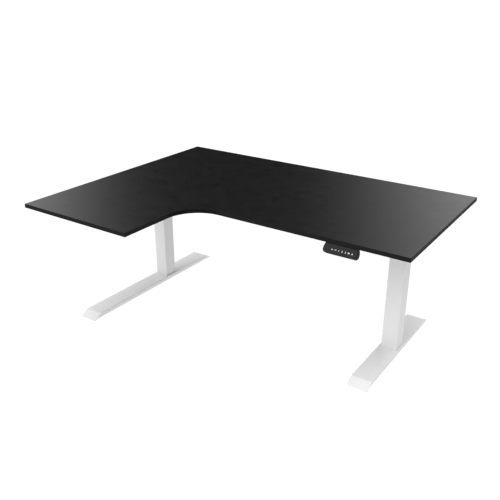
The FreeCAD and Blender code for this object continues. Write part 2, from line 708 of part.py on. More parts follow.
def control_lid():
    """Upper shell against the board, with a screw ear at each corner."""
    middle_x = sum(BOX_X) / 2
    middle_y = sum(BOX_Y) / 2
    length = BOX_X[1] - BOX_X[0]
    width = BOX_Y[1] - BOX_Y[0]
    lid = rounded_bar(middle_x, middle_y, length, width, 6.0, (BOX_SPLIT, FRAME_HEIGHT))
    ears = rounded_bar(middle_x, middle_y, length + 2 * EAR, width - 30.0, 4.0,
                       (FRAME_HEIGHT - EAR_THICKNESS, FRAME_HEIGHT))
    lid = lid.fuse(ears)
    room = rounded_bar(middle_x, middle_y, length - 2 * BOX_WALL, width - 2 * BOX_WALL, 4.0,
                       (BOX_SPLIT, FRAME_HEIGHT - EAR_THICKNESS))
    lid = lid.cut(room)
    holes = []
    for place in box_screw_places():
        holes.append(upright(WOOD_SCREW_R + BOLT_GAP, place.x, place.y, (BOX_SPLIT, FRAME_HEIGHT)))
    return lid.cut(holes)


def box_screw_places():
    z = FRAME_HEIGHT - EAR_THICKNESS
    middle_y = sum(BOX_Y) / 2
    places = []
    for x in (BOX_X[0] - EAR / 2, BOX_X[1] + EAR / 2):
        places += [Vector(x, middle_y - 20.0, z), Vector(x, middle_y + 20.0, z)]
    return places


INLET_SIZE = (22.0, 28.0, 20.0)    # depth, width and height of the inlet's block
INLET_RECESS = (16.0, 24.0, 16.0)
INLET_PIN = (10.0, 2.0, 4.0)


def inlet_block(gap=0.0):
    half_y = INLET_SIZE[1] / 2 + gap
    half_z = INLET_SIZE[2] / 2 + gap
    x = (BOX_X[0] - 2.0, BOX_X[0] - 2.0 + INLET_SIZE[0])
    return box(x, (INLET_Y - half_y, INLET_Y + half_y), (SOCKET_Z - half_z, SOCKET_Z + half_z))


def mains_inlet():
    """Three-pin inlet in the left end of the control box."""
    x_face = BOX_X[0] - 2.0
    body = inlet_block()
    half_y = INLET_RECESS[1] / 2
    half_z = INLET_RECESS[2] / 2
    body = body.cut(box((x_face, x_face + INLET_RECESS[0]), (INLET_Y - half_y, INLET_Y + half_y),
                        (SOCKET_Z - half_z, SOCKET_Z + half_z)))
    x_pin = (x_face + INLET_RECESS[0] - INLET_PIN[0], x_face + INLET_RECESS[0])
    for dy, dz in ((-7.0, -2.0), (0.0, 2.0), (7.0, -2.0)):
        y, z = INLET_Y + dy, SOCKET_Z + dz
        body = body.fuse(box(x_pin, (y - INLET_PIN[1] / 2, y + INLET_PIN[1] / 2),
                             (z - INLET_PIN[2] / 2, z + INLET_PIN[2] / 2)))
    return body


def control_board():
    """Circuit board across the control box, under the sockets."""
    z = (589.0 - 1.6, 589.0)
    return box((BOX_X[0] + 6.0, BOX_X[1] - 6.0), (BOX_Y[0] + 6.0, BOX_Y[1] - 6.0), z)


# ---------------------------------------------------------------- leads
def route(points):
    """Straight runs joined by tangent arcs, each as large as its two runs allow."""
    edges = []
    radii = []
    start = points[0]
    for before, corner, after in zip(points, points[1:], points[2:]):
        back = before - corner
        on = after - corner
        reach = 0.45 * min(back.Length, on.Length)
        half_turn = (math.pi - back.getAngle(on)) / 2
        radius = reach / math.tan(half_turn)
        back.normalize()
        on.normalize()
        inside = back + on
        inside.normalize()
        entry = corner + back * reach
        leave = corner + on * reach
        middle = corner + inside * (radius / math.cos(half_turn) - radius)
        edges.append(Part.LineSegment(start, entry).toShape())
        edges.append(Part.Arc(entry, middle, leave).toShape())
        radii.append(round(radius, 1))
        start = leave
    edges.append(Part.LineSegment(start, points[-1]).toShape())
    return Part.Wire(edges), radii


def lead(points, radius):
    """Round lead along a route."""
    path, radii = route(points)
    circle = Part.makeCircle(radius, points[0], points[1] - points[0])
    tube = path.makePipeShell([Part.Wire([circle])], True, False)
    print("lead length", round(path.Length, 1), "bend radii", radii,
          "volume ratio", round(tube.Volume / (math.pi * radius ** 2 * path.Length), 4))
    return tube


def motor_end(leg):
    """Middle of the motor's end cap, where its lead comes out."""
    x = inward(leg, 0, HOUSING_HALF_X + MOTOR_LENGTH)[1]
    return Vector(x, COLUMN_Y + WORM_OFFSET, WORM_Z)


LEAD_Z = 613.0           # leads run this high, just under the board
LEAD_ENTRY = 6.0         # the handset's lead is held this deep in its boss


def left_lead_points():
    """From the left motor, under the front rail, then along the board to the control box."""
    start = motor_end(LEGS[0])
    return [
        start,
        start + Vector(40.0, 0, 0),
        start + Vector(80.0, -16.0, 5.0),
        start + Vector(106.0, -52.0, 13.0),
        start + Vector(122.0, -96.0, 19.0),
        start + Vector(140.0, -138.0, 30.0),
        start + Vector(180.0, -165.0, 46.0),
        Vector(-330.0, LEFT_PLUG_Y + 8.0, LEAD_Z),
        Vector(-20.0, LEFT_PLUG_Y + 8.0, LEAD_Z),
        Vector(18.0, LEFT_PLUG_Y, SOCKET_Z),
        Vector(BOX_X[0] - PLUG[0] + 4.0, LEFT_PLUG_Y, SOCKET_Z),
    ]


def right_lead_points():
    """From the right motor, under the front rail and round into the control box."""
    start = motor_end(LEGS[1])
    return [
        start,
        start + Vector(-36.0, 0, 0),
        start + Vector(-68.0, -18.0, 5.0),
        start + Vector(-86.0, -56.0, 13.0),
        start + Vector(-92.0, -102.0, 18.0),
        start + Vector(-100.0, -134.0, 28.0),
        Vector(352.0, RIGHT_PLUG_Y, SOCKET_Z),
        Vector(BOX_X[1] + PLUG[0] - 4.0, RIGHT_PLUG_Y, SOCKET_Z),
    ]


def handset_lead_points():
    """From the control box along the board to the back of the handset."""
    return [
        Vector(BOX_X[1] + PLUG[0] - 4.0, HANDSET_PLUG_Y, SOCKET_Z),
        Vector(345.0, HANDSET_PLUG_Y, SOCKET_Z + 1.0),
        Vector(392.0, HANDSET_PLUG_Y - 10.0, LEAD_Z),
        Vector(452.0, -25.0, LEAD_Z + 1.0),
        Vector(508.0, -62.0, LEAD_Z + 1.0),
        Vector(531.0, -98.0, LEAD_Z),
        Vector(HANDSET_X, HANDSET_BACK_Y, LEAD_Z - 1.0),
        Vector(HANDSET_X, HANDSET_BACK_Y - LEAD_ENTRY, LEAD_Z - 1.0),
    ]


def plug(x_wall, y, outward):
    """Moulded plug through the control box's end wall."""
    start = x_wall - outward * 4.0
    end = start + outward * PLUG[0]
    half = PLUG[1] / 2
    return box((start, end), (y - half, y + half), (SOCKET_Z - PLUG[2] / 2, SOCKET_Z + PLUG[2] / 2))


def motor_leads():
    left = lead(left_lead_points(), MOTOR_LEAD_R).fuse(plug(BOX_X[0], LEFT_PLUG_Y, -1.0))
    right = lead(right_lead_points(), MOTOR_LEAD_R).fuse(plug(BOX_X[1], RIGHT_PLUG_Y, 1.0))
    return left, right


def handset_lead():
    return lead(handset_lead_points(), HANDSET_LEAD_R).fuse(plug(BOX_X[1], HANDSET_PLUG_Y, 1.0))


Clip = namedtuple("Clip", "start end share radius")


def clips():
    """Each clip holds one run of a lead, at a share of the way along it."""
    left = left_lead_points()
    handset = handset_lead_points()
    held = [Clip(left[7], left[8], share, MOTOR_LEAD_R) for share in (0.12, 0.5, 0.88)]
    held.append(Clip(handset[3], handset[4], 0.5, HANDSET_LEAD_R))
    return held


def clip_place(clip):
    return clip.start + (clip.end - clip.start) * clip.share


CLIP_TAB = 12.0


def clip_side(clip):
    """Level unit vector across the lead, towards the clip's screw."""
    along = clip.end - clip.start
    across = Vector(-along.y, along.x, 0)
    across.normalize()
    return across


def cable_clip(clip):
    """Saddle over the lead with a screw tab on one side."""
    along = clip.end - clip.start
    along = Vector(along.x, along.y, 0)
    along.normalize()
    across = clip_side(clip)
    centre = clip_place(clip)
    bottom = centre.z - clip.radius - 2.0

    def block(near, far, z0, z1):
        corner = Vector(centre.x, centre.y, z0) - along * (CLIP_LENGTH / 2)
        outline = [corner + across * near, corner + across * far,
                   corner + across * far + along * CLIP_LENGTH, corner + across * near + along * CLIP_LENGTH]
        return prism(outline, Vector(0, 0, z1 - z0))

    half = clip.radius + 2.0
    saddle = block(-half, half, bottom, FRAME_HEIGHT)
    tab = block(half, half + CLIP_TAB, FRAME_HEIGHT - 2.0, FRAME_HEIGHT)
    run = clip.end - clip.start
    bore = rod(clip.radius + THREAD_GAP, clip.start, clip.start + run)
    slot = block(-clip.radius, clip.radius, centre.z, FRAME_HEIGHT)
    body = saddle.fuse(tab).cut([bore, slot])
    screw = clip_screw_place(clip)
    return body.cut(upright(WOOD_SCREW_R + BOLT_GAP, screw.x, screw.y, (bottom, FRAME_HEIGHT)))


def clip_screw_place(clip):
    place = clip_place(clip) + clip_side(clip) * (clip.radius + 2.0 + CLIP_TAB / 2)
    return Vector(place.x, place.y, FRAME_HEIGHT - 2.0)


def clip_screw_places():
    return [clip_screw_place(clip) for clip in clips()]


# ---------------------------------------------------------------- handset
FACE_LENGTH = math.hypot(FACE_RUN, FACE_DROP)
FACE_TILT = math.degrees(math.atan2(FACE_DROP, FACE_RUN))
KEY_ROW = FACE_LENGTH / 2 + 3.5      # from the top of the face, down its slope


def on_face(shape):
    """Move a shape drawn flat, face up and looking at +Z, onto the handset's sloping face."""
    shape.Placement = Placement(Vector(HANDSET_X, HANDSET_TOP_Y, FRAME_HEIGHT),
                                Rotation(Vector(1, 0, 0), FACE_TILT)).multiply(shape.Placement)
    return shape


def face_outline(inset, z):
    """Outline of the sloping face: sides that swell a little and round lower corners."""
    half = HANDSET_HALF_WIDTH - inset
    wide = half + HANDSET_BULGE
    bottom = -FACE_LENGTH + inset
    top = -inset
    corner = HANDSET_CORNER - inset
    swell = bottom + corner
    diagonal = corner * (1 - math.sqrt(0.5))
    right_side = [Vector(half, top, z), Vector(half + HANDSET_BULGE * 0.85, (top + swell) / 2, z),
                  Vector(wide, swell, z)]
    edges = [Part.Arc(*right_side).toShape()]
    edges.append(Part.Arc(Vector(wide, swell, z), Vector(wide - diagonal, bottom + diagonal, z),
                          Vector(wide - corner, bottom, z)).toShape())
    edges.append(Part.LineSegment(Vector(wide - corner, bottom, z), Vector(corner - wide, bottom, z)).toShape())
    edges.append(Part.Arc(Vector(corner - wide, bottom, z), Vector(diagonal - wide, bottom + diagonal, z),
                          Vector(-wide, swell, z)).toShape())
    edges.append(Part.Arc(*[Vector(-p.x, p.y, p.z) for p in reversed(right_side)]).toShape())
    edges.append(Part.LineSegment(Vector(-half, top, z), Vector(half, top, z)).toShape())
    return Part.Face(Part.Wire(edges))


def handset_housing():
    """Sloping case on a flat flange, with a seat for the fascia and room for its board."""
    case = on_face(face_outline(0.0, 0.0).extrude(Vector(0, 0, -HANDSET_THICKNESS)))
    half = HANDSET_HALF_WIDTH
    flange_z = (FRAME_HEIGHT - HANDSET_FLANGE, FRAME_HEIGHT)
    flange = rounded_bar(HANDSET_X, (HANDSET_TOP_Y + HANDSET_BACK_Y) / 2, 2 * half,
                         HANDSET_BACK_Y - HANDSET_TOP_Y, 5.0, flange_z)
    front = box((HANDSET_X - half, HANDSET_X + half), (HANDSET_TOP_Y, HANDSET_TOP_Y + 12.0), flange_z)
    boss = box((HANDSET_X - 9.0, HANDSET_X + 9.0), (HANDSET_BACK_Y - 34.0, HANDSET_BACK_Y),
               (FRAME_HEIGHT - 15.0, FRAME_HEIGHT - HANDSET_FLANGE))
    shell = case.fuse([flange, front, boss])
    seat = on_face(face_outline(RIM, 0.0).extrude(Vector(0, 0, -FASCIA_THICKNESS)))
    depth = HANDSET_THICKNESS - HANDSET_WALL
    room = on_face(face_outline(RIM + 1.0, 0.0).extrude(Vector(0, 0, -depth)))
    entry = Vector(HANDSET_X, HANDSET_BACK_Y - LEAD_ENTRY, LEAD_Z - 1.0)
    lead_hole = rod(HANDSET_LEAD_R + THREAD_GAP, entry, entry + Vector(0, LEAD_ENTRY, 0))
    shell = shell.cut([seat, room, lead_hole])
    screws = []
    for place in handset_screw_places():
        screws.append(upright(WOOD_SCREW_R + BOLT_GAP, place.x, place.y, (place.z, FRAME_HEIGHT)))
        screws.append(upright(WOOD_SCREW_HEAD_R + 0.5, place.x, place.y, (place.z - 30.0, place.z)))
    return shell.cut(screws)


def handset_screw_places():
    z = FRAME_HEIGHT - 4.0
    y = HANDSET_BACK_Y - 14.0
    return [Vector(HANDSET_X + dx, y, z) for dx in (-40.0, 40.0)]


def key_places():
    """Middle of each key in its row, from left to right."""
    first = -(len(KEYS) - 1) / 2
    return [KEY_SHIFT + (first + number) * KEY_PITCH for number in range(len(KEYS))]


def key_bar(x, margin, z):
    """Upright bar with the outline of a key, made larger by a margin."""
    return rounded_bar(x, -KEY_ROW, KEY_SIZE[0] + 2 * margin, KEY_SIZE[1] + 2 * margin, 1.5, z)


def handset_fascia():
    panel = face_outline(RIM + BOLT_GAP, 0.0).extrude(Vector(0, 0, -FASCIA_THICKNESS))
    panel = panel.cut([key_bar(x, KEY_GAP, (-FASCIA_THICKNESS, 0.0)) for x in key_places()])
    return on_face(panel)


def key(x):
    """Key cap with a flange that holds it behind the fascia."""
    cap = key_bar(x, 0.0, (-FASCIA_THICKNESS - 0.1, KEY_PROUD))
    flange = key_bar(x, 0.9, (-FASCIA_THICKNESS - 0.9, -FASCIA_THICKNESS - 0.1))
    return on_face(cap.fuse(flange))


def handset_board():
    """Circuit board behind the keys, with a switch under each one."""
    top = -FASCIA_THICKNESS - 0.9 - KEY_TRAVEL - 0.3
    board_top = top - 0.8
    margin = KEY_SIZE[0] / 2 + 2.0
    ends = (key_places()[0] - margin, key_places()[-1] + margin)
    panel = box(ends, (-KEY_ROW - 9.0, -KEY_ROW + 9.0), (board_top - 1.2, board_top))
    switches = []
    for x in key_places():
        switches.append(rod(2.0, Vector(x, -KEY_ROW, board_top), Vector(x, -KEY_ROW, top)))
    return on_face(panel.fuse(switches))


# ---------------------------------------------------------------- write every sub-part
os.makedirs("parts", exist_ok=True)

for leg in LEGS:
    save("foot_" + leg.name, foot(leg))
    save("outer_tube_" + leg.name, outer_tube(leg))
    save("middle_tube_" + leg.name, middle_tube(leg))
    save("middle_collar_" + leg.name,
         collar(leg, MIDDLE_TUBE, MIDDLE_CORNER, MIDDLE_TOP, MIDDLE_TOP - OUTER_COLLAR_TOP - 0.8,
                INNER_TUBE))
    save("middle_sliders_" + leg.name, *middle_sliders(leg))
    save("middle_bearing_" + leg.name, middle_bearing(leg))
    save("hollow_screw_" + leg.name, hollow_screw(leg))
    save("screw_nut_" + leg.name, screw_nut(leg))
    save("drive_tube_" + leg.name, drive_tube(leg))
    save("worm_wheel_" + leg.name, worm_wheel(leg))
    save("worm_" + leg.name, worm(leg))
    save("side_bracket_" + leg.name, side_bracket(leg))
    for end, (x, y) in zip(("front", "back"), glide_places(leg)):
        save("glide_" + leg.name + "_" + end, glide(x, y))

save("foot_ribs", *[foot_rib(leg) for leg in LEGS])
save("foot_screws", *[foot_screw(x, y) for leg in LEGS for x, y in foot_screw_places(leg)])
save("base_plates", *[base_plate(leg) for leg in LEGS])
save("fixed_screws", *[fixed_screw(leg) for leg in LEGS])
save("outer_collars", *[collar(leg, OUTER_TUBE, OUTER_CORNER, OUTER_TOP, 8.0, MIDDLE_TUBE) for leg in LEGS])
save("outer_sliders", *[pad for leg in LEGS for pad in outer_sliders(leg)])
save("inner_tubes", *[inner_tube(leg) for leg in LEGS])
save("inner_sliders", *[pad for leg in LEGS for pad in inner_sliders(leg)])
save("lift_nuts", *[lift_nut(leg) for leg in LEGS])
save("gear_housings", *[gear_housing(leg) for leg in LEGS])
save("motors", *[motor(leg) for leg in LEGS])
save("rails", *[rail(y) for y in rail_lines()])
frame_bolts = [head_bolt(place) for leg in LEGS for place in head_bolt_places(leg)]
frame_bolts += [rail_bolt(leg, y) for leg in LEGS for y in rail_bolt_lines()]
save("frame_bolts", *frame_bolts)

save("desktop", board())
save("edge_band", edge_band())
save("wood_screws", *[wood_screw(place) for place in wood_screw_places()])
save("control_case", control_case())
save("control_lid", control_lid())
save("mains_inlet", mains_inlet())
save("circuit_boards", control_board(), handset_board())
save("motor_leads", *motor_leads())
save("handset_lead", handset_lead())
save("cable_clips", *[cable_clip(clip) for clip in clips()])
save("handset_housing", handset_housing())
save("handset_fascia", handset_fascia())
for name, x in zip(KEYS, key_places()):
    save("key_" + name, key(x))
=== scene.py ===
import json
import math

import bpy
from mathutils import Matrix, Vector


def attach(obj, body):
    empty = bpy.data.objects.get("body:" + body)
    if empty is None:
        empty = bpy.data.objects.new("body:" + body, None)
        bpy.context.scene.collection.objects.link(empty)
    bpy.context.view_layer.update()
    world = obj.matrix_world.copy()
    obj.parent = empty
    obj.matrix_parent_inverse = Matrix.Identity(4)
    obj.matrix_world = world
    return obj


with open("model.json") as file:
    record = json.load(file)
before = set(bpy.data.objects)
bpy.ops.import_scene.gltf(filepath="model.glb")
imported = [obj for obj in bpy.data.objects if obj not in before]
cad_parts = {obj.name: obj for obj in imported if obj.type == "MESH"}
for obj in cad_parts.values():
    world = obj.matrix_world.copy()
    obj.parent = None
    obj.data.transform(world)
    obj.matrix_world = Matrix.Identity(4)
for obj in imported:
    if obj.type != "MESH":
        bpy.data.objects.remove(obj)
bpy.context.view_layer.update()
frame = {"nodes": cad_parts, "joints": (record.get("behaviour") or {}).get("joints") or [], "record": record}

NODES = frame["nodes"]
JOINTS = {joint["name"]: joint for joint in frame["joints"]}
MM = 0.001


# ---------------------------------------------------------------- material helpers
class Material:
    """A node material in the part's own coordinates, so grain keeps its real size."""

    def __init__(self, name):
        self.material = bpy.data.materials.new(name)
        self.material.use_nodes = True
        self.tree = self.material.node_tree
        self.shader = self.tree.nodes["Principled BSDF"]
        self.place = self.node("ShaderNodeTexCoord").outputs["Object"]
        self.bump = None

    def node(self, kind, **settings):
        node = self.tree.nodes.new(kind)
        for name, value in settings.items():
            setattr(node, name, value)
        return node

    def link(self, start, end):
        self.tree.links.new(start, end)

    def set(self, **values):
        for name, value in values.items():
            self.shader.inputs[name.replace("_", " ")].default_value = value

    def stretched(self, x, y, z):
        """The part's coordinates, scaled along each axis, for brushed or drawn grain."""
        mapping = self.node("ShaderNodeMapping")
        mapping.inputs["Scale"].default_value = (x, y, z)
        self.link(self.place, mapping.inputs["Vector"])
        return mapping.outputs["Vector"]

    def noise(self, size, detail=2.0, roughness=0.5, place=None):
        """Noise with features of about the given size in metres."""
        noise = self.node("ShaderNodeTexNoise")
        noise.inputs["Scale"].default_value = 1.0 / size
        noise.inputs["Detail"].default_value = detail
        noise.inputs["Roughness"].default_value = roughness
        self.link(place or self.place, noise.inputs["Vector"])
        return noise.outputs["Fac"]

    def cells(self, size, randomness=1.0):
        """Distance to scattered points, a pattern of round bumps."""
        cells = self.node("ShaderNodeTexVoronoi")
        cells.inputs["Scale"].default_value = 1.0 / size
        cells.inputs["Randomness"].default_value = randomness
        self.link(self.place, cells.inputs["Vector"])
        return cells.outputs["Distance"]

    def spread(self, value, low, high, start=0.3, end=0.7):
        """A value from a pattern, spread between two limits."""
        spread = self.node("ShaderNodeMapRange")
        spread.inputs["From Min"].default_value = start
        spread.inputs["From Max"].default_value = end
        spread.inputs["To Min"].default_value = low
        spread.inputs["To Max"].default_value = high
        self.link(value, spread.inputs["Value"])
        return spread.outputs["Result"]

    def colours(self, value, *stops):
        """A colour ramp with (position, colour) stops."""
        ramp = self.node("ShaderNodeValToRGB")
        elements = ramp.color_ramp.elements
        while len(elements) < len(stops):
            elements.new(0.5)
        for element, (position, colour) in zip(elements, stops):
            element.position = position
            element.color = (*colour, 1.0)
        self.link(value, ramp.inputs["Fac"])
        return ramp.outputs["Color"]

    def mix(self, factor, first, second):
        mix = self.node("ShaderNodeMix", data_type="RGBA")
        self.link(factor, mix.inputs["Factor"])
        for socket, colour in ((mix.inputs["A"], first), (mix.inputs["B"], second)):
            if isinstance(colour, tuple):
                socket.default_value = (*colour, 1.0)
            else:
                self.link(colour, socket)
        return mix.outputs["Result"]

    def edges(self, low=0.505, high=0.56):
        """Painted highlight on outside edges, with a little wear, from 0 on flat faces to 1 on sharp corners.
        """
        point = self.node("ShaderNodeNewGeometry").outputs["Pointiness"]
        return self.spread(point, 0.0, 1.0, low, high)

    def relief(self, height, depth, strength=1.0):
        """Add one layer of bump, of a depth in metres, over the layers before it."""
        bump = self.node("ShaderNodeBump")
        bump.inputs["Strength"].default_value = strength
        bump.inputs["Distance"].default_value = depth
        self.link(height, bump.inputs["Height"])
        if self.bump:
            self.link(self.bump, bump.inputs["Normal"])
        self.bump = bump.outputs["Normal"]
        self.link(self.bump, self.shader.inputs["Normal"])

    def colour(self, output):
        self.link(output, self.shader.inputs["Base Color"])

    def rough(self, output):
        self.link(output, self.shader.inputs["Roughness"])


# ---------------------------------------------------------------- materials
def black_laminate():
    """Black laminate: a fine pearl texture with faint clouding and pale flecks."""
    made = Material("black_laminate")
    cloud = made.noise(0.16, 3.0)
    fleck = made.noise(0.0006, 1.0)
    shade = made.colours(cloud, (0.3, (0.0058, 0.0060, 0.0063)), (0.7, (0.0070, 0.0072, 0.0076)))
    made.colour(made.mix(made.spread(fleck, 0.0, 0.35), shade, (0.0095, 0.0095, 0.010)))
    made.rough(made.spread(made.noise(0.05, 4.0, 0.6), 0.27, 0.32))
    made.relief(made.cells(0.0011), 0.00002, 0.25)
    made.relief(made.noise(0.0004, 2.0), 0.00001, 0.2)
    made.set(IOR=1.5)
    return made.material


def black_edging():
    """Matt edge band, drawn along its length, with its edges a little lighter: a painted highlight there, with
    a little wear.
    """
    made = Material("black_edging")
    fleck = made.noise(0.0008, 2.0)
    shade = made.colours(fleck, (0.3, (0.0066, 0.0066, 0.0069)), (0.7, (0.0083, 0.0083, 0.0086)))
    # outside edges lighter: painted highlight, with a little wear
    made.colour(made.mix(made.edges(), shade, (0.014, 0.014, 0.0145)))
    made.rough(made.spread(made.noise(0.01, 3.0), 0.46, 0.56))
    made.relief(made.noise(0.0006, 2.0), 0.00002, 0.5)
    made.set(Specular_IOR_Level=0.03)
    return made.material


def powder_coat(name, light, dark, edge_highlight_and_wear):
    """Fine powder coat: an even skin of small rounded grains, lighter on its outside edges: a painted
    highlight there, with a little wear.
    """
    made = Material(name)
    cloud = made.noise(0.09, 3.0)
    shade = made.colours(cloud, (0.3, dark), (0.7, light))
    # outside edges lighter: painted highlight, with a little wear
    made.colour(made.mix(made.edges(), shade, edge_highlight_and_wear))
    made.rough(made.spread(made.noise(0.02, 3.0), 0.36, 0.46))
    made.relief(made.cells(0.0012), 0.00003, 0.2)
    made.relief(made.noise(0.0035, 2.0), 0.00004, 0.15)
    made.set(Specular_IOR_Level=0.35)
    return made.material


def white_frame():
    # last colour: painted highlight on the outside edges, with a little wear
    return powder_coat("white_frame", (0.80, 0.805, 0.81), (0.785, 0.79, 0.795), (0.83, 0.83, 0.83))


def motor_black():
    # last colour: painted highlight on the outside edges, with a little wear
    return powder_coat("motor_black", (0.03, 0.03, 0.032), (0.024, 0.024, 0.026), (0.07, 0.07, 0.072))


def moulded(name, light, dark, edge_highlight_and_wear, grain=0.0009, rough=(0.42, 0.55), shine=0.4):
    """Moulded plastic with a fine spark-eroded grain."""
    made = Material(name)
    cloud = made.noise(0.03, 3.0)
    shade = made.colours(cloud, (0.3, dark), (0.7, light))
    # outside edges lighter: painted highlight, with a little wear
    made.colour(made.mix(made.edges(), shade, edge_highlight_and_wear))
    made.rough(made.spread(made.noise(0.008, 3.0), *rough))
    made.relief(made.noise(grain, 2.0, 0.6), 0.00003, 0.5)
    made.set(Specular_IOR_Level=shine)
    return made.material


def grey_collar():
    # last colour: painted highlight on the outside edges, with a little wear
    return moulded("grey_collar", (0.60, 0.61, 0.62), (0.57, 0.58, 0.59), (0.66, 0.67, 0.68))


def slider_plastic():
    # last colour: painted highlight on the outside edges, with a little wear
    return moulded("slider_plastic", (0.78, 0.76, 0.70), (0.73, 0.71, 0.64), (0.82, 0.80, 0.74))


def black_plastic():
    # third colour: painted highlight on the outside edges, with a little wear
    return moulded("black_plastic", (0.010, 0.010, 0.011), (0.008, 0.008, 0.009), (0.018, 0.018, 0.019),
                   shine=0.03)


def key_black():
    # third colour: painted highlight on the outside edges, with a little wear
    return moulded("key_black", (0.013, 0.013, 0.014), (0.0105, 0.0105, 0.011), (0.022, 0.022, 0.023),
                   0.0006, (0.30, 0.40), 0.14)


def black_gloss():
    """Smooth panel, with faint waves and a haze of fine wiping marks."""
    made = Material("black_gloss")
    cloud = made.noise(0.02, 3.0)
    made.colour(made.colours(cloud, (0.3, (0.0105, 0.0105, 0.011)), (0.7, (0.013, 0.013, 0.0135))))
    wiping = made.noise(0.004, 4.0, 0.7, made.stretched(0.3, 1.0, 1.0))
    made.rough(made.spread(wiping, 0.26, 0.36))
    made.relief(made.noise(0.012, 1.0), 0.00002, 0.3)
    made.set(Specular_IOR_Level=0.16)
    return made.material


def turned_steel():
    """Zinc plated steel with a faint brushed grain and cloudy passivation."""
    made = Material("screw_steel")
    cloud = made.noise(0.006, 4.0, 0.6)
    made.colour(made.colours(cloud, (0.3, (0.50, 0.51, 0.53)), (0.7, (0.62, 0.62, 0.61))))
    made.set(Metallic=1.0)
    grain = made.noise(0.0008, 3.0, 0.6, made.stretched(1.0, 1.0, 0.08))
    made.rough(made.spread(grain, 0.26, 0.42))
    made.relief(grain, 0.00001, 0.4)
    return made.material


def threaded(name, colour, dark):
    """Machined metal cut with a fine thread that climbs around the upright axis, darker in the thread's roots:
    painted shade.
    """
    made = Material(name)
    wave = made.node("ShaderNodeTexWave", bands_direction="Z", wave_profile="TRI")
    wave.inputs["Scale"].default_value = math.pi / 10 / 0.003
    wave.inputs["Distortion"].default_value = 0.2
    made.link(made.place, wave.inputs["Vector"])
    # dark colour in the thread's roots, where the bump is low: painted shade
    made.colour(made.mix(wave.outputs["Fac"], dark, colour))
    made.set(Metallic=1.0)
    made.rough(made.spread(made.noise(0.002, 3.0), 0.24, 0.38))
    made.relief(wave.outputs["Fac"], 0.0008, 0.6)
    return made.material


def nut_bronze():
    made = Material("nut_bronze")
    cloud = made.noise(0.008, 4.0)
    made.colour(made.colours(cloud, (0.3, (0.52, 0.36, 0.16)), (0.7, (0.66, 0.48, 0.22))))
    made.set(Metallic=1.0)
    made.rough(made.spread(made.noise(0.003, 3.0), 0.28, 0.42))
    made.relief(made.noise(0.0006, 2.0), 0.00001, 0.4)
    return made.material


def drive_aluminium():
    """Extruded aluminium, with die lines along its length."""
    made = Material("drive_aluminium")
    lines = made.noise(0.0012, 3.0, 0.6, made.stretched(1.0, 1.0, 0.02))
    made.colour(made.colours(lines, (0.3, (0.70, 0.71, 0.72)), (0.7, (0.80, 0.80, 0.80))))
    made.set(Metallic=1.0)
    made.rough(made.spread(lines, 0.28, 0.4))
    made.relief(lines, 0.00002, 0.5)
    return made.material


def cast_aluminium():
    """Die cast housing: dull grain with slightly brighter edges, a painted highlight there with a little wear.
    """
    made = Material("cast_aluminium")
    cloud = made.noise(0.02, 4.0, 0.6)
    shade = made.colours(cloud, (0.3, (0.42, 0.43, 0.44)), (0.7, (0.52, 0.525, 0.53)))
    # outside edges brighter: painted highlight, with a little wear
    made.colour(made.mix(made.edges(), shade, (0.68, 0.68, 0.68)))
    made.set(Metallic=0.85)
    made.rough(made.spread(made.noise(0.004, 3.0), 0.44, 0.6))
    made.relief(made.noise(0.0012, 3.0, 0.7), 0.00008, 0.6)
    return made.material


def board_green():
    """Solder mask over faint copper tracks."""
    made = Material("board_green")
    tracks = made.node("ShaderNodeTexBrick")
    tracks.inputs["Scale"].default_value = 90.0
    tracks.inputs["Mortar Size"].default_value = 0.06
    made.link(made.place, tracks.inputs["Vector"])
    made.colour(made.mix(tracks.outputs["Fac"], (0.012, 0.10, 0.04), (0.03, 0.17, 0.07)))
    made.rough(made.spread(made.noise(0.01, 2.0), 0.25, 0.38))
    made.relief(tracks.outputs["Fac"], 0.00003, 0.5)
    return made.material


def lead_black():
    """Soft sheath with a slight bloom."""
    made = Material("lead_black")
    cloud = made.noise(0.012, 3.0)
    made.colour(made.colours(cloud, (0.3, (0.016, 0.016, 0.017)), (0.7, (0.026, 0.026, 0.027))))
    made.rough(made.spread(made.noise(0.003, 3.0), 0.45, 0.6))
    made.relief(made.noise(0.0007, 2.0), 0.00002, 0.4)
    return made.material


def symbol_white():
    """Pale printed ink, a little uneven."""
    made = Material("symbol_white")
    cloud = made.noise(0.0008, 2.0)
    made.colour(made.colours(cloud, (0.3, (0.86, 0.87, 0.88)), (0.7, (0.93, 0.94, 0.95))))
    made.rough(made.spread(cloud, 0.4, 0.55))
    made.relief(cloud, 0.00001, 0.3)
    return made.material


SLOT_MATERIALS = {
    "black_laminate": black_laminate(),
    "black_edging": black_edging(),
    "white_frame": white_frame(),
    "grey_collar": grey_collar(),
    "slider_plastic": slider_plastic(),
    "screw_steel": turned_steel(),
    "nut_bronze": nut_bronze(),
    "drive_aluminium": drive_aluminium(),
    "cast_aluminium": cast_aluminium(),
    "motor_black": motor_black(),
    "black_plastic": black_plastic(),
    "black_gloss": black_gloss(),
    "key_black": key_black(),
    "board_green": board_green(),
    "lead_black": lead_black(),
}
SYMBOL = symbol_white()
# second colour: painted shade in the thread's roots
THREAD = threaded("lifting_thread", (0.60, 0.60, 0.60), (0.30, 0.30, 0.31))


def finish_cad_nodes():
    """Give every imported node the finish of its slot."""
    for part in frame["record"]["subparts"]:
        materials = NODES[part["node"]].data.materials
        materials.clear()
        materials.append(SLOT_MATERIALS[part["material_slot"]])
    for node in ("fixed_screws", "hollow_screw_left", "hollow_screw_right"):
        NODES[node].data.materials[0] = THREAD


finish_cad_nodes()


# ---------------------------------------------------------------- printed key symbols
STROKE = 1.15 * MM
INK = 0.04 * MM
SYMBOL_HEIGHT = 5.0 * MM


